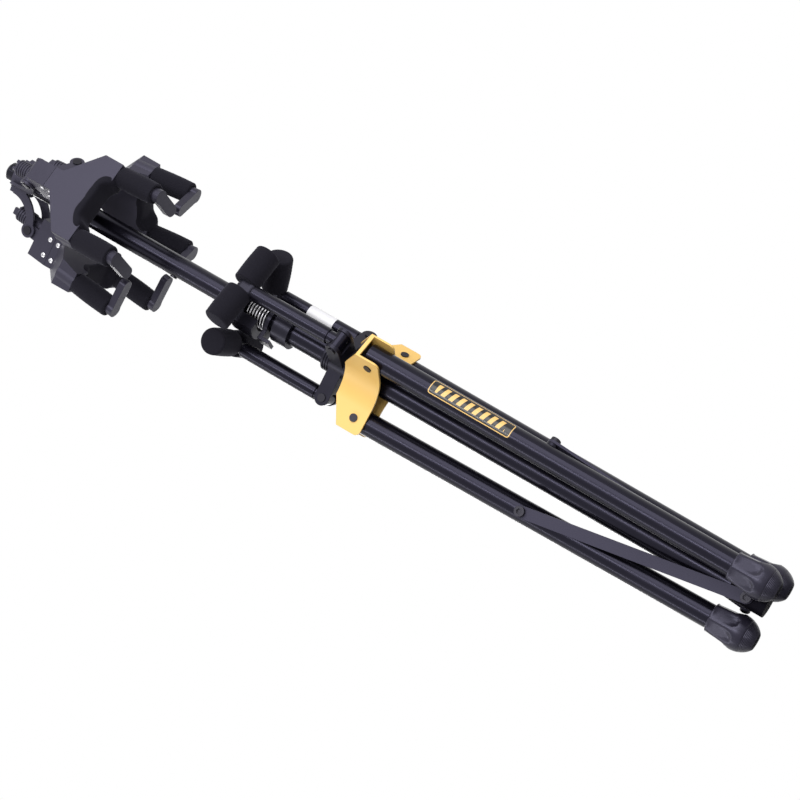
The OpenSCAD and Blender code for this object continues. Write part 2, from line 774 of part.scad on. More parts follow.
// Yoke body with arm sockets, arm tubes and the slot for the rail
module yoke_body(i) {
    slot_x = body_x0 + 3.7;
    slot_len = stem_deep - 8.4;
    color(plastic) yoke_frame(i) difference() {
        union() {
            intersection() {
                translate([body_x0 - 1, 0, 0]) rotate([90, 0, 90]) linear_extrude(stem_deep + 2) wing_front();
                slab(-arm_span, arm_span) wing_side();
            }
            for (s = [-1, 1]) translate([arm_out, s * arm_span / 2, 0]) {
                translate([0, 0, -foam_start]) cylinder(h = socket_len, r = socket_d / 2);
                translate([0, 0, socket_len - foam_start - e])
                    cylinder(h = 2.5, r1 = socket_d / 2, r2 = socket_d / 2 - 2.5);
                translate([0, 0, -foam_start - foam_len]) cylinder(h = foam_len + e, r = core_d / 2);
            }
        }
        for (s = [-1, 1]) translate([arm_out, s * arm_span / 2, -gate_z - 1])
            cylinder(h = gate_z - foam_start + shaft_in + 2, r = shaft_hole);
        translate([slot_x, -rail_w / 2 - 0.3, -stem_end - rail_d - 0.3])
            cube([slot_len, rail_w + 0.6, rail_d + 1]);
        translate([slot_x, -rail_w / 2 - 2.3, -stem_end - rail_d - 0.3]) cube([slot_len, rail_w + 4.6, 3.6]);
        screw_holes(-stem_end - 6);
    }
}

module body_screws(i) {
    color(bright) yoke_frame(i) screws(-stem_end - 6);
}

// Foam in the throat and on both arms
module yoke_pads(i) {
    t = lining_t + 0.1;
    color(foam_black) yoke_frame(i) {
        translate([arm_out - 14.5, 0, 0]) rotate([90, 0, 90]) linear_extrude(29) intersection() {
            difference() {
                arch(throat_half - 0.1, throat_r - 0.1, -throat_top - 0.1, -foam_start - 9);
                arch(throat_half - t, throat_r - t, -throat_top - t, -foam_start - 10);
            }
            translate([-throat_half, 0.4 - foam_start]) square([2 * throat_half, 20]);
        }
        for (s = [-1, 1]) translate([arm_out, s * arm_span / 2, -foam_start - foam_len]) difference() {
            cylinder(h = foam_len - 0.3, r = foam_d / 2);
            translate([0, 0, -1]) cylinder(h = foam_len + 2, r = core_d / 2 + foam_hole);
        }
    }
}

// Gate finger with its shaft through the arm; s is +1 left and -1 right
module gate(i, s) {
    color(plastic) yoke_frame(i) translate([arm_out, s * arm_span / 2, -gate_z]) {
        translate([0, 0, -gate_t]) {
            cylinder(h = gate_t, r = gate_w / 2 + 1);
            translate([gate_w / 2 - gate_len, 0, 0]) cylinder(h = gate_t, r = gate_w / 2);
            translate([gate_w / 2 - gate_len, -gate_w / 2, 0])
                cube([gate_len - gate_w / 2, gate_w, gate_t]);
        }
        translate([0, 0, -e]) cylinder(h = gate_z - foam_start + shaft_in, r = shaft_d / 2);
    }
}

mast_lower_tube();
brace_hub();
clutch_body();
clutch_spring();
clutch_lever();
mast_upper_tube();
mast_cap();
height_stop();
top_hub();
yoke_fold_pins();
leg_bracket();
collar_block();
leg_pivot_rivets();
backrest_hub();
backrest_pins();
leg(0);  // leg_1
leg(1);  // leg_2
leg(2);  // leg_3
foot(0);  // foot_1
foot(1);  // foot_2
foot(2);  // foot_3
brace_bolt(0);  // brace_bolt_1
brace_bolt(1);  // brace_bolt_2
brace_bolt(2);  // brace_bolt_3
brace(0);  // brace_1
brace(1);  // brace_2
brace(2);  // brace_3
hub_bolt(0);  // hub_bolt_1
hub_bolt(1);  // hub_bolt_2
hub_bolt(2);  // hub_bolt_3
backrest_arm(0);  // backrest_arm_1
backrest_arm(1);  // backrest_arm_2
backrest_arm(2);  // backrest_arm_3
backrest_tbar(0);  // backrest_tbar_1
backrest_tbar(1);  // backrest_tbar_2
backrest_tbar(2);  // backrest_tbar_3
backrest_pads(0);  // backrest_pads_1
backrest_pads(1);  // backrest_pads_2
backrest_pads(2);  // backrest_pads_3
yoke_stem(0);  // yoke_stem_1
yoke_stem(1);  // yoke_stem_2
yoke_stem(2);  // yoke_stem_3
stem_screws(0);  // stem_screws_1
stem_screws(1);  // stem_screws_2
stem_screws(2);  // stem_screws_3
yoke_body(0);  // yoke_body_1
yoke_body(1);  // yoke_body_2
yoke_body(2);  // yoke_body_3
body_screws(0);  // body_screws_1
body_screws(1);  // body_screws_2
body_screws(2);  // body_screws_3
yoke_pads(0);  // yoke_pads_1
yoke_pads(1);  // yoke_pads_2
yoke_pads(2);  // yoke_pads_3
gate(0, 1);  // gate_left_1
gate(1, 1);  // gate_left_2
gate(2, 1);  // gate_left_3
gate(0, -1);  // gate_right_1
gate(1, -1);  // gate_right_2
gate(2, -1);  // gate_right_3
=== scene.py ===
# %% [markdown]
# # Dressing a folding stand for three guitars
# The stand comes as a fixed frame of plain solids: tubes, a sheet metal
# bracket, moulded yokes and simple sleeves where the foam sits. This lesson
# gives every piece the surface it has on a shop floor, and swaps the soft
# parts for shapes that look soft. Lengths are in metres, +Z runs up the mast.

# %% Load the frame
import math

import bmesh
import bpy
import numpy as np
from mathutils import Matrix, Vector


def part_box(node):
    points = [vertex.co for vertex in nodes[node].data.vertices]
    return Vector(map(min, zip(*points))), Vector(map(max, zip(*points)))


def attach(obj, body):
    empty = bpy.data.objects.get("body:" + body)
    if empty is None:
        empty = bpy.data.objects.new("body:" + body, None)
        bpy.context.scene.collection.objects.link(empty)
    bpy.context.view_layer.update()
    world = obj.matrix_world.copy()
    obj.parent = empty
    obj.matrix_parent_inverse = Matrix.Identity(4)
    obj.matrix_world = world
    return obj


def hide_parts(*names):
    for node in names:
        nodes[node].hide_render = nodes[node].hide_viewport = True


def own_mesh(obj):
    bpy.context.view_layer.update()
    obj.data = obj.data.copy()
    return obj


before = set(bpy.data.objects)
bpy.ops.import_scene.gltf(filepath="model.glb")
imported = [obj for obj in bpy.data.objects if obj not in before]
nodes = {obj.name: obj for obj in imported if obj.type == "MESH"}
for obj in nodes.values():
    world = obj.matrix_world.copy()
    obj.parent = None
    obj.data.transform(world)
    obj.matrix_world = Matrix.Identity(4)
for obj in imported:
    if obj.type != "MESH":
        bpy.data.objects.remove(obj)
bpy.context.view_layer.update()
SECTORS = (1, 2, 3)
MM = 0.001

# %% [markdown]
# ## Where the mast stands
# The mast axis isn't exactly over the origin, so it is read from the lower
# tube's own box. Each third of the stand (leg, backrest, yoke) then has a
# direction that points away from the axis and one that runs round it. The
# backrest hub and the head sit turned a few degrees against the legs.

# %% Sector directions
lo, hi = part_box("mast_lower_tube")
AXIS = np.array([(lo[0] + hi[0]) / 2, (lo[1] + hi[1]) / 2, 0.0])
UP = np.array([0.0, 0.0, 1.0])
FIRST_THIRD, NEXT_THIRD = -90, 120
ARM_TURN, HEAD_TURN = -5.0, -13.0


def sector_frame(i, turn):
    """Outward (cos a, sin a, 0) and sideways (-sin a, cos a, 0) of third i, a third being 120 degrees."""
    a = math.radians(FIRST_THIRD + NEXT_THIRD * (i - 1) + turn)
    return np.array([math.cos(a), math.sin(a), 0.0]), np.array([-math.sin(a), math.cos(a), 0.0])


def placed(points, i, origin, lean=0.0, turn=0.0):
    """Local points (outward, sideways, up) moved to third i: turned by `lean` about the sideways axis,
    so that what hangs below the origin swings outward, then carried to the origin and round the mast."""
    out, side = sector_frame(i, turn)
    c, s = math.cos(math.radians(lean)), math.sin(math.radians(lean))
    x, y, z = np.moveaxis(np.asarray(points, float), -1, 0)
    u = x * c - z * s + origin[0]
    w = x * s + z * c + origin[2]
    level = AXIS + u[..., None] * out + (y + origin[1])[..., None] * side
    return level + w[..., None] * UP


print("mast axis at", AXIS[:2].round(5))

# %% [markdown]
# ## Camera
# The folded stand is seen from its foot end and a little below its middle.
# The camera is rolled so that the mast runs from top left to bottom right,
# and its long lens keeps the tubes nearly parallel.

# %% Camera
look_from = math.radians(-115)
below = math.radians(20)
roll = math.radians(29.9)
distance, focal_length, sensor_width, far_clip = 2.161, 92.8, 36, 50
aim_height, aim_aside = 0.445, 0.0058
level = np.array([math.cos(look_from), math.sin(look_from), 0.0])
left = np.array([math.sin(look_from), -math.cos(look_from), 0.0])
toward = math.cos(below) * level - math.sin(below) * UP
along = -math.cos(below) * UP - math.sin(below) * level
right = math.cos(roll) * along - math.sin(roll) * left
up = -(math.sin(roll) * along + math.cos(roll) * left)
target = AXIS + aim_height * UP + aim_aside * left
camera = bpy.data.objects.new("camera", bpy.data.cameras.new("camera"))
camera.data.sensor_width = sensor_width
camera.data.lens = focal_length
camera.data.clip_end = far_clip
turned_rows = np.array([right, up, toward]).T.tolist()
camera.matrix_world = Matrix([[*row, 0] for row in turned_rows] + [[0, 0, 0, 1]])
camera.location = Vector(target + distance * toward)
bpy.context.scene.collection.objects.link(camera)
bpy.context.scene.camera = camera
bpy.context.scene.view_settings.view_transform = "Standard"
print("camera at", [round(v, 3) for v in camera.location])

# %% [markdown]
# ## Small helpers for materials
# Colours are written as hex values, the way a colour picker shows them, and
# turned to linear light once. `add` puts a node in a tree, sets its settings
# and wires its inputs, so that a material reads like a short recipe.

# %% Material helpers


def linear(hex_colour):
    """sRGB hex to linear RGBA: c / 12.92 near black, ((c + 0.055) / 1.055)^2.4 above."""
    v = [int(hex_colour[k : k + 2], 16) / 255 for k in (1, 3, 5)]
    return [c / 12.92 if c <= 0.04045 else ((c + 0.055) / 1.055) ** 2.4 for c in v] + [1.0]


def wire(tree, node, **inputs):
    """Fills a node's inputs, called by name or by number as in _0. A socket is linked, a node stands
    for its first output, and anything else is set as the input's value."""
    for key, value in inputs.items():
        socket = node.inputs[int(key[1:]) if key[1:].isdigit() else key.replace("_", " ")]
        if isinstance(value, bpy.types.Node):
            value = value.outputs[0]
        if isinstance(value, bpy.types.NodeSocket):
            tree.links.new(value, socket)
        else:
            socket.default_value = value


def add(tree, kind, settings=None, **inputs):
    """Adds one node: settings are its own properties, inputs are filled by `wire`."""
    node = tree.nodes.new("ShaderNode" + kind)
    for key, value in (settings or {}).items():
        setattr(node, key, value)
    wire(tree, node, **inputs)
    return node


def new_material(name):
    """An empty material with a Principled shader wired to its output."""
    mat = bpy.data.materials.new(name)
    mat.use_nodes = True
    tree = mat.node_tree
    tree.nodes.clear()
    shader = add(tree, "BsdfPrincipled")
    add(tree, "OutputMaterial", Surface=shader)
    return mat, tree, shader


print("a middle grey in linear light:", round(linear("#808080")[0], 3))

# %% [markdown]
# ## Powder coat
# The tubes are steel, sprayed with polyester powder and baked. The film flows
# out under an even semi-gloss, with a fine orange peel. On the real tube that
# is about a millimetre from crest to crest; it is drawn at 2.2 mm, so that it
# shows. Handling rubs faint dull patches into it, a few centimetres long.
#
# Carbon black has a cold undertone, so what the dark films mirror is tinted a
# little towards violet.

# %% Powder coat


def powder_coat(name, colour, worn, roughness, shine=0.5, gloss_tint="#ffffff"):
    """Baked powder: one slow cloud mixes two close tones and shifts the gloss, over an orange peel bump."""
    cloud_size, peel_size, peel_depth, edge_radius = 60 * MM, 2.2 * MM, 0.3 * MM, 0.5 * MM
    mat, tree, shader = new_material(name)
    at = add(tree, "TexCoord").outputs["Object"]
    cloud = add(tree, "TexNoise", Vector=at, Scale=1 / cloud_size, Detail=3.0, Roughness=0.6)
    gloss = add(tree, "MapRange", Value=cloud, From_Min=0.35, From_Max=0.7,
                To_Min=roughness - 0.03, To_Max=roughness + 0.06)
    tint = add(tree, "Mix", {"data_type": "RGBA"}, Factor=cloud, _6=linear(colour), _7=linear(worn))
    crest = add(tree, "TexNoise", Vector=at, Scale=1 / peel_size, Detail=1.0)
    edge = add(tree, "Bevel", {"samples": 4}, Radius=edge_radius)
    bump = add(tree, "Bump", Strength=0.02, Distance=peel_depth, Height=crest, Normal=edge)
    wire(tree, shader, Base_Color=tint.outputs[2], Roughness=gloss, Normal=bump,
         Specular_IOR_Level=shine, Specular_Tint=linear(gloss_tint))
    return mat


# Semi-gloss black on the tubes: nearly no colour of its own, so the eye sees long soft streaks of light.
black_powder = powder_coat("black_polyester_powder_coat", "#07060b", "#0c0b11",
                           roughness=0.25, shine=0.3, gloss_tint="#dcd8ff")
# Textured black on the hub of the braces: grains break up the gloss, so it stays dark from every side.
dull_powder = powder_coat("black_textured_powder_coat", "#09080d", "#0f0e14",
                          roughness=0.6, shine=0.08, gloss_tint="#dcd8ff")
# Dark grey on the flat bars of the braces: an even satin, a step lighter than the tubes.
grey_powder = powder_coat("dark_powder_coated_flat_bar", "#2d2b37", "#33313e",
                          roughness=0.45, shine=0.3, gloss_tint="#e2dfff")
# Warm yellow on the folded bracket: a thick satin film that rounds the edges of the sheet.
yellow_powder = powder_coat("yellow_powder_coated_sheet", "#f0c269", "#f4ca76", roughness=0.4)
print("powder coats ready")

# %% [markdown]
# ## Moulded plastics
# The yokes are glass-filled nylon from a spark-eroded mould: a dark grey with
# a fine grain that scatters the light. The gates come from a smoother mould
# and look darker. Caps and collars are ABS with a finer grain, and the feet a
# soft thermoplastic rubber. All of them hold carbon black, so their gloss has
# the same cold tint. Grains are drawn at 0.5 mm or more, which is coarser
# than real ones, so that they show.

# %% Moulded plastic


def moulded(name, colour, lifted, roughness, grain_mm, grain, edge_mm, shine=0.3):
    """Moulded plastic: one slow cloud mixes two close greys and shifts the gloss, over a mould grain bump."""
    cloud_size, grain_depth, gloss_tint = 35 * MM, 0.2 * MM, "#e2dfff"
    mat, tree, shader = new_material(name)
    at = add(tree, "TexCoord").outputs["Object"]
    cloud = add(tree, "TexNoise", Vector=at, Scale=1 / cloud_size, Detail=4.0, Roughness=0.65)
    tint = add(tree, "Mix", {"data_type": "RGBA"}, Factor=cloud, _6=linear(colour), _7=linear(lifted))
    gloss = add(tree, "MapRange", Value=cloud, From_Min=0.3, From_Max=0.7,
                To_Min=roughness - 0.04, To_Max=roughness + 0.05)
    pits = add(tree, "TexNoise", Vector=at, Scale=1 / (grain_mm * MM), Detail=2.0)
    edge = add(tree, "Bevel", {"samples": 4}, Radius=edge_mm * MM)
    bump = add(tree, "Bump", Strength=grain, Distance=grain_depth, Height=pits, Normal=edge)
    wire(tree, shader, Base_Color=tint.outputs[2], Roughness=gloss, Normal=bump,
         Specular_IOR_Level=shine, Specular_Tint=linear(gloss_tint))
    return mat


# Nylon of the yokes and the head: dark grey faces that catch a broad, soft sheen.
satin_nylon = moulded("glass_filled_nylon_spark_grain", "#32303b", "#3a3843",
                      roughness=0.42, grain_mm=0.6, grain=0.12, edge_mm=1.0)
# Nylon of the gates: a darker batch from a smoother mould, with a crisper glint on its thin edges.
dark_nylon = moulded("glass_filled_nylon_dark_gates", "#201e28", "#27252f",
                     roughness=0.36, grain_mm=0.6, grain=0.12, edge_mm=0.9, shine=0.4)
# Grained ABS of the collars, the clutch and the T bars: black with a small, even glint.
black_abs = moulded("black_abs_fine_grain", "#121118", "#19181f",
                    roughness=0.34, grain_mm=0.5, grain=0.08, edge_mm=0.8)
# Polished ABS of the cap: nearly a black mirror.
glossy_abs = moulded("black_abs_polished", "#0b0b0e", "#111115",
                     roughness=0.16, grain_mm=1.5, grain=0.02, edge_mm=0.8)
# Rubber of the feet: smooth from the mould, so the flats show as soft facets.
foot_rubber = moulded("moulded_thermoplastic_rubber", "#1a1822", "#211f29",
                      roughness=0.32, grain_mm=0.5, grain=0.06, edge_mm=0.4, shine=0.45)
print("plastics ready")

# %% [markdown]
# ## Foam
# Closed-cell nitrile foam tube, skived to size: nearly black and quite matt,
# with cells a little under a millimetre that show as a soft speckle. That
# speckle is painted shade and painted light: each cell is painted darker in its
# pit and lighter on its rim, following its bump. The cut cell walls catch light
# at a low angle, which a trace of sheen stands for.

# %% Foam


def closed_cell_foam(name, colour, lifted, cell_size):
    """Foam: round cells pressed into the skin and a slow cloud; painted shade darkens each pit, painted light
    brightens each rim.
    """
    cloud_size, cell_depth, gloss_tint = 12 * MM, 0.35 * MM, "#e6e3ff"
    mat, tree, shader = new_material(name)
    at = add(tree, "TexCoord").outputs["Object"]
    cells = add(tree, "TexVoronoi", Vector=at, Scale=1 / cell_size)
    cloud = add(tree, "TexNoise", Vector=at, Scale=1 / cloud_size, Detail=3.0)
    both = add(tree, "Math", {"operation": "MULTIPLY_ADD"}, _0=cloud, _1=0.6, _2=cells)
    # painted shade and painted light: the colour follows the cell bump, darker in the pits, lighter on the
    # rims
    tint = add(tree, "Mix", {"data_type": "RGBA"}, Factor=cells, _6=linear(colour), _7=linear(lifted))
    bump = add(tree, "Bump", Strength=0.35, Distance=cell_depth, Height=both)
    wire(tree, shader, Base_Color=tint.outputs[2], Roughness=0.86, Normal=bump,
         Specular_IOR_Level=0.2, Specular_Tint=linear(gloss_tint),
         Sheen_Weight=0.05, Sheen_Roughness=0.5, Sheen_Tint=linear(gloss_tint))
    return mat


foam = closed_cell_foam("closed_cell_nitrile_foam", "#0e0d12", "#17161c", cell_size=0.9 * MM)
print("foam ready")

# %% [markdown]
# ## Metals
# The small screws and the clutch coil are zinc plated: bright, a little milky
# and finely scratched. The bolts, rivets and pins have black oxide, a thin
# dark skin that the steel still shines through. The scratches are drawn a
# millimetre apart, coarser than real ones, so that they show.

# %% Metals


def plated(name, colour, dull, roughness, scratch_size):
    """Plated steel: a metal whose tone and roughness vary over fine scratches."""
    scratch_depth, edge_radius = 0.1 * MM, 0.3 * MM
    mat, tree, shader = new_material(name)
    at = add(tree, "TexCoord").outputs["Object"]
    marks = add(tree, "TexNoise", Vector=at, Scale=1 / scratch_size, Detail=4.0, Roughness=0.7)
    tint = add(tree, "Mix", {"data_type": "RGBA"}, Factor=marks, _6=linear(colour), _7=linear(dull))
    rough = add(tree, "MapRange", Value=marks, From_Min=0.3, From_Max=0.7,
                To_Min=roughness - 0.06, To_Max=roughness + 0.08)
    edge = add(tree, "Bevel", {"samples": 4}, Radius=edge_radius)
    bump = add(tree, "Bump", Strength=0.05, Distance=scratch_depth, Height=marks, Normal=edge)
    wire(tree, shader, Base_Color=tint.outputs[2], Roughness=rough, Normal=bump, Metallic=1.0)
    return mat


zinc = plated("bright_zinc_plated_steel", "#d9d8da", "#b3b2b8", roughness=0.28, scratch_size=1.0 * MM)
black_oxide = plated("black_oxide_steel", "#3b3a40", "#2a292e", roughness=0.4, scratch_size=1.2 * MM)
print("metals ready")

# %% [markdown]
# ## A finish for every solid
# Pieces that come three times carry a number at the end of their name, so
# one line of the table dresses all three. A solid that a softer shape
# replaces further down still gets its finish here.

# %% Give each solid its material
FINISH = {
    "mast_lower_tube": black_powder, "mast_upper_tube": black_powder, "brace_hub": dull_powder,
    "clutch_body": black_abs, "clutch_lever": black_abs, "clutch_spring": zinc,
    "mast_cap": glossy_abs, "height_stop": black_oxide, "top_hub": satin_nylon,
    "yoke_fold_pins": black_oxide, "leg_bracket": yellow_powder, "collar_block": black_abs,
    "leg_pivot_rivets": black_oxide, "backrest_hub": black_abs, "backrest_pins": black_oxide,
    "leg": black_powder, "foot": foot_rubber, "brace_bolt": black_oxide, "brace": grey_powder,
    "hub_bolt": black_oxide, "backrest_arm": black_powder, "backrest_tbar": black_abs,
    "backrest_pads": foam, "yoke_stem": satin_nylon, "stem_screws": zinc, "yoke_body": satin_nylon,
    "body_screws": zinc, "yoke_pads": foam, "gate_left": dark_nylon, "gate_right": dark_nylon,
}
for name, obj in nodes.items():
    family = name[:-2] if name[-2:] in ("_1", "_2", "_3") else name
    obj.data.materials.clear()
    obj.data.materials.append(FINISH[family])
    obj.data.polygons.foreach_set("material_index", np.zeros(len(obj.data.polygons), np.int32))
print("finishes:", len(set(FINISH.values())))

# %% [markdown]
# ## A lathe made of arrays
# Sleeves, feet and screw heads are all turned shapes. A profile lists how far
# along the axis and how far from it each ring lies; turning it gives a grid
# of points, and the grid's faces follow from the row and column numbers. An
# object then joins one or more of such shells and rides on a body.

# %% Faces of a grid


def grid_faces(rows, cols, wrap=True):
    """Quads between neighbouring rows and columns; the last column joins the first if wrap is set."""
    r, c = np.meshgrid(np.arange(rows - 1), np.arange(cols if wrap else cols - 1), indexing="ij")
    row, next_row, d = r * cols, (r + 1) * cols, (c + 1) % cols
    return np.stack([row + c, row + d, next_row + d, next_row + c], -1).reshape(-1, 4)


print("a ring of 6 joined to the next has", len(grid_faces(2, 6)), "faces")

# %% A piece made of shells
WELD = 1e-6


def carried(name, mesh, material, body):
    """An object for a finished mesh, in the scene and riding on a body."""
    mesh.materials.append(material)
    obj = bpy.data.objects.new(name, mesh)
    bpy.context.scene.collection.objects.link(obj)
    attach(obj, body)
    return obj


def piece(name, shells, body, material):
    """One smooth object from several (points, faces) shells, with poles welded and normals outward."""
    points, faces, start = [], [], 0
    for p, f in shells:
        p = np.asarray(p, float).reshape(-1, 3)
        points.append(p)
        faces += (np.asarray(f) + start).tolist()
        start += len(p)
    mesh = bpy.data.meshes.new(name)
    mesh.from_pydata(np.concatenate(points).tolist(), [], faces)
    bm = bmesh.new()
    bm.from_mesh(mesh)
    bmesh.ops.remove_doubles(bm, verts=bm.verts, dist=WELD)
    bmesh.ops.dissolve_degenerate(bm, dist=WELD / 10, edges=bm.edges)
    bmesh.ops.recalc_face_normals(bm, faces=bm.faces)
    bm.to_mesh(mesh)
    bm.free()
    mesh.polygons.foreach_set("use_smooth", np.ones(len(mesh.polygons), bool))
    return carried(name, mesh, material, body)


# %% Rings and profiles


def turned(profile, steps, radius):
    """Rings of a turned shape: columns (along, r cos a, r sin a), r being radius(along, r, a)."""
    along, r = np.asarray(profile, float).T
    a = np.linspace(0, 2 * np.pi, steps, endpoint=False)
    r = radius(along[:, None], np.repeat(r[:, None], steps, 1), a[None, :])
    ring = np.stack([np.repeat(along[:, None], steps, 1), r * np.cos(a), r * np.sin(a)], -1)
    return ring, grid_faces(len(along), steps)


def arc(cx, cy, r, start, stop, n):
    """n points of a rounded corner in the profile plane: centre + r (cos t, sin t), angles in degrees."""
    t = np.radians(np.linspace(start, stop, n))
    return np.stack([cx + r * np.cos(t), cy + r * np.sin(t)], 1)


def straight(a, b, n):
    """n points a (1 - t) + b t from a towards b, without the last one."""
    t = np.linspace(0, 1, n, endpoint=False)[:, None]
    return np.asarray(a) * (1 - t) + np.asarray(b) * t


# %% [markdown]
# ## Backrest foam
# Each T bar carries two foam sleeves that are closed at their outer ends. A
# cut foam tube isn't a true cylinder: its ends pull in where the knife went
# through, its flanks are a little full, and the closed end is nearly a flat
# disc with a soft rim. The sleeve is turned, then nudged by slow waves.

# %% Foam sleeves
WAVE = {"height": 0.13 * MM, "axis_clear": 8 * MM, "long": 60 * MM, "short": 9 * MM}


def foam_wave(along, r, a):
    """Adds h (sin(2a + 90 z / long) + sin(3a + 1.7) cos(z / short)), which fades out near the axis."""
    full = np.clip(r / WAVE["axis_clear"], 0, 1)
    twist = np.sin(2 * a + 90 * along / WAVE["long"])
    lumps = np.sin(3 * a + 1.7) * np.cos(along / WAVE["short"])
    return r + full * WAVE["height"] * (twist + lumps)


def sleeve_profile(start, end, hole, r, cut_rim, end_rim, crown):
    """Half section of a sleeve with a closed end, in metres: up the hole, round the cut end, along a
    flank of radius r + crown sin(pi t), round the rim, and over a low dome 1 - d^2 to the axis."""
    hole_floor, dome_rise = end - 1.5 * MM, 0.45 * MM
    flank = np.linspace(start + cut_rim, end - end_rim, 24)
    t = (flank - flank[0]) / (flank[-1] - flank[0])
    swell = r + crown * np.sin(np.pi * t)
    dome = np.linspace(1, 0, 9)[1:]
    mouth = start + cut_rim / 2
    return np.concatenate([
        [[hole_floor, 0.0], [hole_floor, hole]],
        straight((hole_floor, hole), (mouth, hole), 4)[1:],
        arc(mouth, hole + cut_rim / 2, cut_rim / 2, 270, 180, 5),
        arc(start + cut_rim, r - cut_rim, cut_rim, 180, 90, 8),
        np.stack([flank, swell], 1)[1:-1],
        arc(end - end_rim, r - end_rim, end_rim, 90, 0, 9),
        np.stack([end + dome_rise * (1 - dome**2), (r - end_rim) * dome], 1),
    ])


# %% Sleeves on the T bars
lo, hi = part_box("backrest_pads_1")
TEE = {"out": 43.5 * MM, "z": (lo[2] + hi[2]) / 2, "r": (hi[2] - lo[2]) / 2,
       "bare": 5.5 * MM, "reach": 48 * MM}
sleeve = sleeve_profile(TEE["bare"], TEE["reach"] - 0.4 * MM, hole=6.1 * MM, r=TEE["r"] - 0.2 * MM,
                        cut_rim=1.6 * MM, end_rim=2.6 * MM, crown=0.35 * MM)
for i in SECTORS:
    shells = []
    for side in (1, -1):
        ring, faces = turned(sleeve, 72, foam_wave)
        along_bar = np.stack([ring[..., 1], side * ring[..., 0], ring[..., 2]], -1)
        shells.append((placed(along_bar, i, (TEE["out"], 0, TEE["z"]), turn=ARM_TURN), faces))
    pad = piece(f"backrest_foam_{i}", shells, f"backrest_{i}", foam)
    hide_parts(f"backrest_pads_{i}")
print("backrest foam:", round(2 * TEE["reach"] / MM), "mm wide,", round(2 * TEE["r"] / MM), "mm thick")

# %% [markdown]
# ## Yoke foam
# A yoke has a fat foam lining that wraps the rim of its throat, and a foam
# sleeve on each arm. The lining is one closed section, a rounded box, carried
# along the rim: up one side, round a corner, along the roof and down again.
# Slow waves on its outer edge stand for the way the foam buckles as it is
# pressed round the bends.

# %% A yoke's own directions
YOKE = {"hinge": (46.5 * MM, 0, 934 * MM), "lean": 6.0, "arm_x": 4 * MM, "arm_y": 42 * MM}


def in_yoke(points, i):
    """Points (outward, sideways, up from the hinge) of hanging yoke i, moved to where it hangs."""
    return placed(points, i, YOKE["hinge"], YOKE["lean"], HEAD_TURN)


print("yokes lean out by", YOKE["lean"], "degrees")

# %% Lining of the throat
THROAT = {"half": 30.2 * MM, "roof": -89 * MM, "corner": 14 * MM}
LINING = {"lift": 0.1 * MM, "thick": 5.5 * MM, "ripple": 0.8 * MM, "aside": 0.4 * MM, "wide": 14.9 * MM,
          "sway": 0.4 * MM}


def throat_rim(n):
    """n evenly spaced (sideways, up) points of the rim, two corner arcs joined by straights, and the
    direction out of the throat at each: the direction of travel turned by a right angle."""
    w, top, r = THROAT["half"], THROAT["roof"], THROAT["corner"]
    corners = np.concatenate([arc(-w + r, top - r, r, 182, 90, 24), arc(w - r, top - r, r, 90, -2, 24)])
    run = np.concatenate([[0], np.cumsum(np.hypot(*np.diff(corners, axis=0).T))])
    even = np.linspace(0, run[-1], n)
    rim = np.stack([np.interp(even, run, corners[:, 0]), np.interp(even, run, corners[:, 1])], 1)
    ahead = np.gradient(rim, axis=0)
    ahead /= np.hypot(*ahead.T)[:, None]
    return rim, np.stack([-ahead[:, 1], ahead[:, 0]], 1)


def throat_lining(rows=72, cols=40):
    """Rounded box, half width wide |cos w|^0.5 and half height thick |sin w|^0.6, carried along the rim.
    Both ends shrink to a point, and a ripple sin(23 t + 0.6) lifts its outer edge."""
    rim, away = throat_rim(rows)
    t = np.linspace(0, 1, rows)[:, None]
    w = np.linspace(0, 2 * np.pi, cols, endpoint=False)[None, :]
    shrink = np.sqrt(np.clip(1 - np.abs(2 * t - 1) ** 12, 0, 1))
    box_x = np.sign(np.cos(w)) * np.abs(np.cos(w)) ** 0.5
    box_r = np.sign(np.sin(w)) * np.abs(np.sin(w)) ** 0.6
    ripple = LINING["ripple"] * np.sin(t * 23 + 0.6) * np.clip(box_r, 0, 1) * (1 - (2 * t - 1) ** 4)
    off = LINING["lift"] + LINING["thick"] * box_r * shrink + ripple
    half = LINING["wide"] + LINING["sway"] * np.sin(t * 17 + 1.1)
    x = YOKE["arm_x"] + LINING["aside"] + half * box_x * shrink
    y, z = rim[:, :1] + off * away[:, :1], rim[:, 1:] + off * away[:, 1:]
    return np.stack([x, y, z], -1), grid_faces(rows, cols)


# %% Sleeves on the arms
SLEEVE = {"top": -101 * MM, "end": -150 * MM, "r": 12 * MM, "hole": 7.6 * MM, "rim": 1.8 * MM,
          "crown": 0.5 * MM}


def arm_sleeve(side):
    """Foam tube on one arm: both ends cut and softened, flank of radius r + crown sin(pi t)."""
    top, end, r, rim = SLEEVE["top"], SLEEVE["end"], SLEEVE["r"], SLEEVE["rim"]
    z = np.linspace(end + rim, top - rim, 22)
    t = (z - z[0]) / (z[-1] - z[0])
    low_edge, high_edge = [end + 1.0 * MM, SLEEVE["hole"]], [top - 0.5 * MM, SLEEVE["hole"]]
    profile = np.concatenate([
        [low_edge], arc(end + rim, r - rim, rim, 180, 90, 7),
        np.stack([z, r + SLEEVE["crown"] * np.sin(np.pi * t)], 1)[1:-1],
        arc(top - rim, r - rim, rim, 90, 0, 7), [high_edge, low_edge]])
    ring, faces = turned(profile, 64, foam_wave)
    x, y = ring[..., 1] + YOKE["arm_x"], ring[..., 2] + side * YOKE["arm_y"]
    return np.stack([x, y, ring[..., 0]], -1), faces


for i in SECTORS:
    shells = [(in_yoke(p, i), f) for p, f in (throat_lining(), arm_sleeve(1), arm_sleeve(-1))]
    pad = piece(f"yoke_foam_{i}", shells, f"yoke_body_{i}", foam)
    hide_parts(f"yoke_pads_{i}")
print("yoke foam:", len(shells), "shells on each yoke")

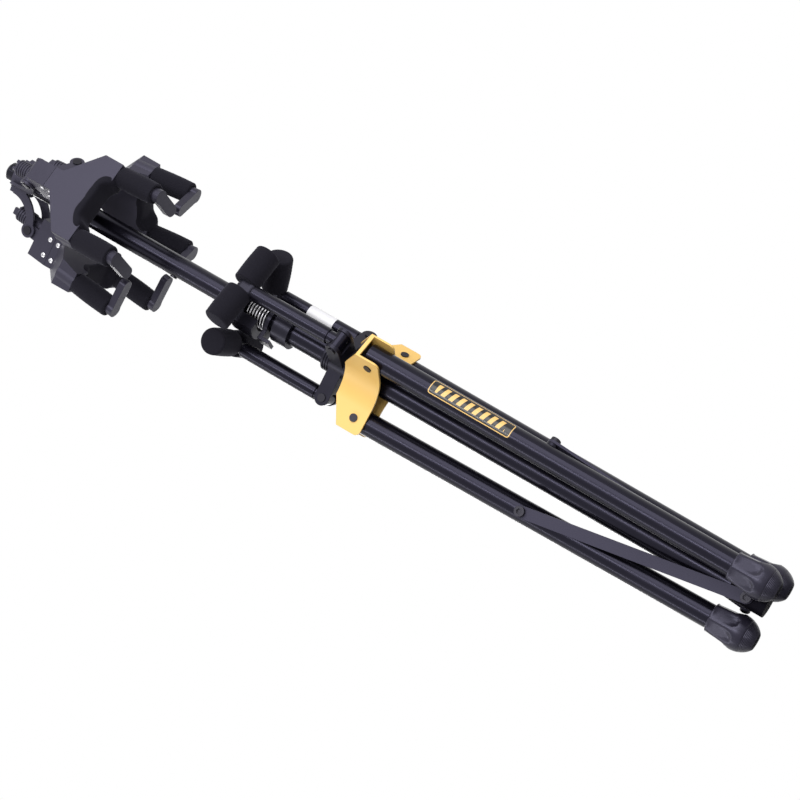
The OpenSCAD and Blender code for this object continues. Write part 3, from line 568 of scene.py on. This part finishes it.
# %% [markdown]
# ## Rubber feet
# Each foot is a moulded rubber boot: a mouth round the tube, a body that
# flares towards the floor, with flats cut into it so that it can be gripped,
# and a long dome with fine tread rings for a sole. The flats are a limit on
# the radius, and the sole is pressed level with the floor.

# %% Profile of a foot
LEG = {"pivot": (45 * MM, 0, 476 * MM), "lean": -0.9, "length": 464 * MM / math.cos(math.radians(0.9)),
       "tube_r": 12.7 * MM}


def foot_profile():
    """(along, radius) from the mouth over the lip and the flared body to the dome, whose points at
    angle t are (9 - (23.5 - dent) sin t, (19.1 - dent) cos t) in millimetres."""
    body = [(6, 12.75), (37.4, 12.75), (38.2, 13.2), (38.3, 14.6), (37.7, 15.4), (36, 15.8),
            (30, 16.6), (24, 17.4), (18, 18.2), (13.5, 18.75), (11, 19.0)]
    shoulder, rings, tip = np.linspace(0, 20, 7), np.linspace(24, 54, 9), np.linspace(58, 90, 10)
    groove_at, groove_deep = np.array([0.0, 0.6, 2.2, 2.8]), np.array([0.0, 0.5, 0.5, 0.0])
    t = np.radians(np.concatenate([shoulder, (rings[:, None] + groove_at).ravel(), tip]))
    dent = np.concatenate([0 * shoulder, np.tile(groove_deep, len(rings)), 0 * tip])
    dome = np.stack([9 - (23.5 - dent) * np.sin(t), (19.1 - dent) * np.cos(t)], 1)
    return np.concatenate([np.array(body), dome]) * MM


print("foot profile:", len(foot_profile()), "rings")

# %% Flats of a foot
FLATS = {"count": 6, "top": 36 * MM, "run": 24 * MM, "apothem": 14.4 * MM, "flare": 1.9 * MM,
         "scoop": 9 * MM, "soft": 1.5 * MM, "lip": 37 * MM, "lip_soft": 1 * MM, "outer_r": 14 * MM}


def foot_flats(along, r, a):
    """Limits the outer radius to apothem / cos(angle from the middle of a flat). The apothem grows
    towards the sole, and each flat ends in a round scoop, lowest in its middle."""
    apothem = FLATS["apothem"] + FLATS["flare"] * np.clip((FLATS["top"] - along) / FLATS["run"], 0, 1)
    half = np.pi / FLATS["count"]
    from_middle = (a + half) % (2 * half) - half
    flat = apothem / np.cos(from_middle)
    end = FLATS["scoop"] * (1 + (from_middle / half) ** 2)
    above_scoop = np.clip((along - end) / FLATS["soft"], 0, 1)
    below_lip = np.clip((FLATS["lip"] - along) / FLATS["lip_soft"], 0, 1)
    cut = above_scoop * below_lip * np.maximum(r - flat, 0)
    return np.where(r > FLATS["outer_r"], r - cut, r)


for i in SECTORS:
    ring, faces = turned(foot_profile(), 96, foot_flats)
    local = np.stack([ring[..., 1], ring[..., 2], ring[..., 0] - LEG["length"]], -1)
    on_floor = placed(local, i, LEG["pivot"], LEG["lean"])
    on_floor[..., 2] = np.maximum(on_floor[..., 2], 0)
    boot = piece(f"rubber_foot_{i}", [(on_floor, faces)], f"leg_{i}", foot_rubber)
    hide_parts(f"foot_{i}")
print("feet:", len(SECTORS), "boots with", FLATS["count"], "flats each")

# %% [markdown]
# ## Clutch coil
# The coil over the squeeze lever is drawn wire, wound on a mandrel and cut
# square. A ring of wire is carried up a helix at an even pitch.

# %% Clutch coil
COIL = {"foot": 617 * MM, "head": 645 * MM, "radius": 13.6 * MM, "wire": 2 * MM, "turns": 7,
        "squeeze": 6 * MM}


def wound_wire(steps=48, sides=14):
    """After t turns, at angle w round the wire: radius R + r cos w at angle 2 pi t, and a height that
    climbs with t plus r sin w. r drops to nothing at both ends, which closes them."""
    t = np.linspace(0, COIL["turns"], COIL["turns"] * steps + 1)[:, None]
    w = np.linspace(0, 2 * np.pi, sides, endpoint=False)[None, :]
    square_cut = np.sqrt(np.clip(1 - np.abs(2 * t / COIL["turns"] - 1) ** 400, 0, 1))
    r = COIL["wire"] / 2 * square_cut
    out = COIL["radius"] + r * np.cos(w)
    climb = (COIL["head"] - COIL["foot"] - COIL["wire"]) * t / COIL["turns"]
    z = COIL["foot"] + COIL["wire"] / 2 + climb + r * np.sin(w)
    turn = 2 * np.pi * t
    return np.stack([AXIS[0] + out * np.cos(turn), AXIS[1] + out * np.sin(turn), z], -1), grid_faces(*z.shape)


coil = piece("clutch_coil", [wound_wire()], "mast", zinc)
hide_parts("clutch_spring")
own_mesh(coil)
print("coil:", COIL["turns"], "turns of", COIL["wire"], "m wire")

# %% [markdown]
# ## Small screws
# Eight zinc screws hold each yoke together, four on a side. A pan head is a
# low dome; its cross recess is two crossing slots pressed into the dome, deep
# in the middle and running out towards the rim.

# %% One pan head
HEAD = {"r": 3.0 * MM, "rise": 1.5 * MM, "rim": 0.45 * MM, "sunk": 0.05 * MM}
RECESS = {"half": 0.45 * MM, "reach": 1.9 * MM, "runout": 0.9 * MM, "deep": 1.0 * MM}


def pan_head(rings=14, steps=48):
    """Height over the seat: rim + (rise - rim) (1 - (d / r)^2.6), less a cross slot that is deep where
    min(|x|, |y|) is small and runs out with the distance d from the middle."""
    d = np.concatenate([np.linspace(0, 1, rings), [1.0]])[:, None] * HEAD["r"]
    a = np.linspace(0, 2 * np.pi, steps, endpoint=False)[None, :]
    x, y = d * np.cos(a), d * np.sin(a)
    across = np.clip(1 - np.minimum(np.abs(x), np.abs(y)) / RECESS["half"], 0, 1)
    slot = across * np.clip((RECESS["reach"] - d) / RECESS["runout"], 0, 1)
    h = HEAD["rim"] + (HEAD["rise"] - HEAD["rim"]) * (1 - (d / HEAD["r"]) ** 2.6) - RECESS["deep"] * slot
    h[-1] = -HEAD["sunk"]
    return np.stack([x, y, h], -1), grid_faces(rings + 1, steps)


# %% Screws on the yokes
SCREWS = {"from_middle": 10 * MM, "plate": 13 * MM, "height": {"stem": -30 * MM, "body": -42 * MM}}
for kind, height in SCREWS["height"].items():
    for i in SECTORS:
        shells = []
        for side in (1, -1):
            for shift in (-SCREWS["from_middle"], SCREWS["from_middle"]):
                head, faces = pan_head()
                x = head[..., 0] + YOKE["arm_x"] + shift
                y = side * (SCREWS["plate"] + head[..., 2])
                shells.append((in_yoke(np.stack([x, y, head[..., 1] + height], -1), i), faces))
        heads = piece(f"{kind}_screw_heads_{i}", shells, f"yoke_{kind}_{i}", zinc)
        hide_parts(f"{kind}_screws_{i}")
print("screws:", len(shells), "pan heads on each stem and on each body")

# %% [markdown]
# ## Labels
# Leg 1 carries a foil label: a black ground, a thin gold outline with round
# corners and plain gold bars. One backrest arm has a small bare white
# sticker. Both are thin sheets bent round their tube, so a point at width u
# on the sheet sits at angle u / radius. The label's pattern reads the
# sheet's own flat place in metres, kept as its UV map.

# %% Bent sheets
UNDER_SHEET = 0.02 * MM


def bent_sheet(width, height, corner, tube_r, lift, rows=60, cols=28):
    """Flat places (u, v) of a sheet with round corners, and the same grid bent round a tube as face
    and back: (r cos(u / tube_r), r sin(u / tube_r), v). Each row is as wide as its corners allow."""
    v = height / 2 * np.sin(np.linspace(-np.pi / 2, np.pi / 2, rows))
    over = np.clip(np.abs(v) - (height / 2 - corner), 0, corner)
    half = width / 2 - corner + np.sqrt(np.maximum(corner**2 - over**2, 0))
    u = np.linspace(-1, 1, cols)[None, :] * half[:, None]
    v = np.repeat(v[:, None], cols, 1)
    face, back = (np.stack([r * np.cos(u / tube_r), r * np.sin(u / tube_r), v], -1)
                  for r in (tube_r + lift, tube_r + UNDER_SHEET))
    return np.stack([u, v], -1), face, back


def sheet_piece(name, flat, face, back, body, material):
    """Face, back and the rim that joins them, with the flat places as UV in metres."""
    rows, cols = face.shape[:2]
    n = rows * cols
    index = np.arange(n).reshape(rows, cols)
    border = np.concatenate([index[0, :-1], index[:-1, -1], index[-1, :0:-1], index[:0:-1, 0]])
    after = np.roll(border, -1)
    quads = grid_faces(rows, cols, wrap=False)
    faces = np.concatenate([quads, quads[:, ::-1] + n, np.stack([after, border, border + n, after + n], -1)])
    mesh = bpy.data.meshes.new(name)
    mesh.from_pydata(np.concatenate([face.reshape(-1, 3), back.reshape(-1, 3)]).tolist(), [], faces.tolist())
    uv = mesh.uv_layers.new(name="flat")
    corner_vertex = np.zeros(len(mesh.loops), np.int32)
    mesh.loops.foreach_get("vertex_index", corner_vertex)
    uv.data.foreach_set("uv", np.tile(flat.reshape(-1, 2), (2, 1))[corner_vertex].ravel())
    return carried(name, mesh, material, body)


# %% [markdown]
# ## Foil and paper
# The label is gold foil stamped on black vinyl: the foil is a little rough
# and stands proud by a hair, the vinyl is smooth. Its outline is drawn where
# the distance to a rounded rectangle has one value, and its bars are where a
# slanted saw wave is low. The sticker is coated paper, whose fibres show as a
# faint cloud. Brush marks and fibres are drawn at 0.8 and 0.7 mm, coarser
# than real ones, so that they show.

# %% Foil label
LABEL = {"wide": 19 * MM, "long": 100 * MM, "corner": 3.5 * MM, "line": 0.9 * MM, "inset": 1.0 * MM,
         "bar_pitch": 9.5 * MM, "bar_share": 0.52, "bar_slant": 0.3,
         "bar_half": 5.2 * MM, "bars_half": 42 * MM}


def foil_label():
    """Gold in the outline |d + inset| < line / 2 and in the bars fract((v + slant u) / pitch) < share,
    black elsewhere. The distance d outside a rounded rectangle is the larger of two: at its corners
    |max(|p| - inner, 0)| - corner, along its sides max(|u| - wide / 2, |v| - long / 2)."""
    mat, tree, shader = new_material("gold_foil_on_black_vinyl")
    flat = add(tree, "UVMap", {"uv_map": "flat"})
    own = add(tree, "SeparateXYZ", Vector=flat)
    fold = add(tree, "VectorMath", {"operation": "ABSOLUTE"}, _0=flat)
    folded = add(tree, "SeparateXYZ", Vector=fold)
    half = np.array([LABEL["wide"] / 2, LABEL["long"] / 2, 0.0])
    inner = half - np.array([LABEL["corner"], LABEL["corner"], 0.0])
    from_inner = add(tree, "VectorMath", {"operation": "SUBTRACT"}, _0=fold, _1=inner)
    in_corner = add(tree, "VectorMath", {"operation": "MAXIMUM"}, _0=from_inner, _1=(0.0, 0.0, 0.0))
    reach = add(tree, "VectorMath", {"operation": "LENGTH"}, _0=in_corner).outputs["Value"]
    past_corner = add(tree, "Math", {"operation": "SUBTRACT"}, _0=reach, _1=LABEL["corner"])
    from_half = add(tree, "VectorMath", {"operation": "SUBTRACT"}, _0=fold, _1=half)
    past = add(tree, "SeparateXYZ", Vector=from_half)
    past_side = add(tree, "Math", {"operation": "MAXIMUM"}, _0=past.outputs[0], _1=past.outputs[1])
    rim = add(tree, "Math", {"operation": "MAXIMUM"}, _0=past_corner, _1=past_side)
    from_line = add(tree, "Math", {"operation": "ADD"}, _0=rim, _1=LABEL["inset"])
    off_line = add(tree, "Math", {"operation": "ABSOLUTE"}, _0=from_line)
    line = add(tree, "Math", {"operation": "LESS_THAN"}, _0=off_line, _1=LABEL["line"] / 2)
    slant = add(tree, "Math", {"operation": "MULTIPLY_ADD"}, _0=own.outputs[0], _1=LABEL["bar_slant"],
                _2=own.outputs[1])
    count = add(tree, "Math", {"operation": "DIVIDE"}, _0=slant, _1=LABEL["bar_pitch"])
    saw = add(tree, "Math", {"operation": "FRACT"}, _0=count)
    bar = add(tree, "Math", {"operation": "LESS_THAN"}, _0=saw, _1=LABEL["bar_share"])
    in_width = add(tree, "Math", {"operation": "LESS_THAN"}, _0=folded.outputs[0], _1=LABEL["bar_half"])
    in_length = add(tree, "Math", {"operation": "LESS_THAN"}, _0=folded.outputs[1], _1=LABEL["bars_half"])
    inside = add(tree, "Math", {"operation": "MULTIPLY"}, _0=in_width, _1=in_length)
    bars = add(tree, "Math", {"operation": "MULTIPLY"}, _0=bar, _1=inside)
    gold = add(tree, "Math", {"operation": "MAXIMUM"}, _0=line, _1=bars)
    brushed = add(tree, "TexNoise", Vector=flat, Scale=1 / (0.8 * MM), Detail=2.0)
    tone = add(tree, "Mix", {"data_type": "RGBA"}, Factor=brushed, _6=linear("#e8b65a"), _7=linear("#f6d08c"))
    ink = add(tree, "Mix", {"data_type": "RGBA"}, Factor=gold, _6=linear("#121115"), _7=tone.outputs[2])
    rough = add(tree, "MapRange", Value=gold, To_Min=0.25, To_Max=0.38)
    bump = add(tree, "Bump", Strength=0.3, Distance=0.05 * MM, Height=gold)
    wire(tree, shader, Base_Color=ink.outputs[2], Roughness=rough, Normal=bump)
    return mat


# %% White sticker
STICKER = {"wide": 22 * MM, "long": 34 * MM, "corner": 1.5 * MM, "at": (43.5 * MM, 0, 581 * MM), "spin": -95,
           "tube_r": 8.5 * MM}


def white_sticker():
    """Coated paper: white, a trace of fibre in its tone and height."""
    mat, tree, shader = new_material("coated_white_paper_sticker")
    at = add(tree, "TexCoord").outputs["Object"]
    fibre = add(tree, "TexNoise", Vector=at, Scale=1 / (0.7 * MM), Detail=3.0)
    tone = add(tree, "Mix", {"data_type": "RGBA"}, Factor=fibre, _6=linear("#dcdbe0"), _7=linear("#f1f0f3"))
    bump = add(tree, "Bump", Strength=0.1, Distance=0.05 * MM, Height=fibre)
    wire(tree, shader, Base_Color=tone.outputs[2], Roughness=0.35, Normal=bump)
    return mat


# %% Put the sheets on
label_height = 356 * MM
flat, *sides = bent_sheet(LABEL["wide"], LABEL["long"], LABEL["corner"], LEG["tube_r"],
                          lift=0.16 * MM)
below_pivot = (LEG["pivot"][2] - label_height) * UP
on_leg = [placed(p - below_pivot, 1, LEG["pivot"], LEG["lean"]) for p in sides]
sheet_piece("leg_label", flat, *on_leg, "leg_1", foil_label())

flat, *sides = bent_sheet(STICKER["wide"], STICKER["long"], STICKER["corner"], STICKER["tube_r"],
                          lift=0.15 * MM)
c, s = math.cos(math.radians(STICKER["spin"])), math.sin(math.radians(STICKER["spin"]))
round_arm = np.array([[c, -s, 0], [s, c, 0], [0, 0, 1]])
on_arm = [placed(p @ round_arm.T, 2, STICKER["at"], turn=ARM_TURN) for p in sides]
sheet_piece("arm_sticker", flat, *on_arm, "backrest_2", white_sticker())
print("label", LABEL["long"], "m long; sticker", STICKER["long"], "m long")

# %% [markdown]
# ## Floor and light
# A white sweep with two strip lamps and two large soft ones. The strips draw
# the thin bright lines along the tubes, the soft ones the broad grey bands.
# The floor is a sheet that only shows its upper face, so the stand can also
# be looked at from below, and it lets the level light through to the soles.
# Further out it fades into the white of the studio, so that no horizon shows.

# %% World


def background_rays(tree):
    """1 for rays that show the background itself: straight from the eye, mirrored or refracted."""
    path = add(tree, "LightPath")
    first = add(tree, "Math", {"operation": "MAXIMUM"},
                _0=path.outputs["Is Camera Ray"], _1=path.outputs["Is Glossy Ray"])
    return add(tree, "Math", {"operation": "MAXIMUM"}, _0=first, _1=path.outputs["Is Transmission Ray"])


world = bpy.data.worlds.new("white_studio")
world.use_nodes = True
studio = world.node_tree
studio.nodes.clear()
shown = add(studio, "Background", Color=linear("#ffffff"), Strength=1.0)
level_light = add(studio, "Background", Color=linear("#ffffff"), Strength=0.35)
sky = add(studio, "MixShader", _0=background_rays(studio), _1=level_light, _2=shown)
add(studio, "OutputWorld", Surface=sky)
bpy.context.scene.world = world
print("studio: level light", round(level_light.inputs["Strength"].default_value, 2))

# %% Floor
FLOOR = {"radius": 8.0, "drop": 0.6 * MM, "sides": 96, "fade_from": 0.7, "fade_to": 2.2}
paper, tree, shader = new_material("white_paper_floor")
at = add(tree, "TexCoord").outputs["Object"]
grain = add(tree, "TexNoise", Vector=at, Scale=1 / (3 * MM), Detail=2.0)
tone = add(tree, "Mix", {"data_type": "RGBA"}, Factor=grain, _6=linear("#f4f4f4"), _7=linear("#f8f8f8"))
wire(tree, shader, Base_Color=tone.outputs[2], Roughness=0.9)
backfacing = add(tree, "NewGeometry").outputs["Backfacing"]
upper_face = add(tree, "Math", {"operation": "SUBTRACT"}, _0=background_rays(tree), _1=backfacing)
far = add(tree, "VectorMath", {"operation": "LENGTH"}, _0=at).outputs["Value"]
fade = add(tree, "MapRange", {"interpolation_type": "SMOOTHSTEP"}, Value=far,
           From_Min=FLOOR["fade_from"], From_Max=FLOOR["fade_to"], To_Min=1.0, To_Max=0.0)
seen = add(tree, "Math", {"operation": "MULTIPLY"}, _0=upper_face, _1=fade)
clear = add(tree, "BsdfTransparent")
top_only = add(tree, "MixShader", _0=seen, _1=clear, _2=shader)
wire(tree, next(n for n in tree.nodes if n.type == "OUTPUT_MATERIAL"), Surface=top_only)
a = np.linspace(0, 2 * np.pi, FLOOR["sides"], endpoint=False)
edge = np.stack([FLOOR["radius"] * np.cos(a), FLOOR["radius"] * np.sin(a), 0 * a - FLOOR["drop"]], 1)
sheet = bpy.data.meshes.new("floor")
sheet.from_pydata(edge.tolist(), [], [list(range(FLOOR["sides"]))])
sheet.materials.append(paper)
floor = bpy.data.objects.new("floor", sheet)
bpy.context.scene.collection.objects.link(floor)
print("floor: fades out between", FLOOR["fade_from"], "and", FLOOR["fade_to"], "m")

# %% Lamps
AIM = Vector((0, 0, 0.5))


def soft_lamp(name, azimuth, elevation, far, width, height, power):
    """A rectangular lamp that faces the middle of the stand, its height kept along the mast."""
    a, e = math.radians(azimuth), math.radians(elevation)
    offset = Vector((math.cos(a) * math.cos(e), math.sin(a) * math.cos(e), math.sin(e)))
    lamp = bpy.data.objects.new(name, bpy.data.lights.new(name, "AREA"))
    lamp.data.shape = "RECTANGLE"
    lamp.data.size, lamp.data.size_y, lamp.data.energy = width, height, power
    lamp.location = AIM + far * offset
    lamp.rotation_mode = "QUATERNION"
    lamp.rotation_quaternion = offset.to_track_quat("Z", "Y")
    bpy.context.scene.collection.objects.link(lamp)


soft_lamp("front_strip", azimuth=-116, elevation=12, far=2.4, width=0.3, height=2.4, power=28)
soft_lamp("wide_softbox", azimuth=-82, elevation=12, far=2.4, width=1.7, height=2.4, power=44)
soft_lamp("edge_strip", azimuth=-192, elevation=12, far=2.4, width=0.2, height=2.4, power=15)
soft_lamp("back_softbox", azimuth=75, elevation=25, far=2.6, width=1.0, height=2.2, power=30)
print("lamps:", len(bpy.data.lights))
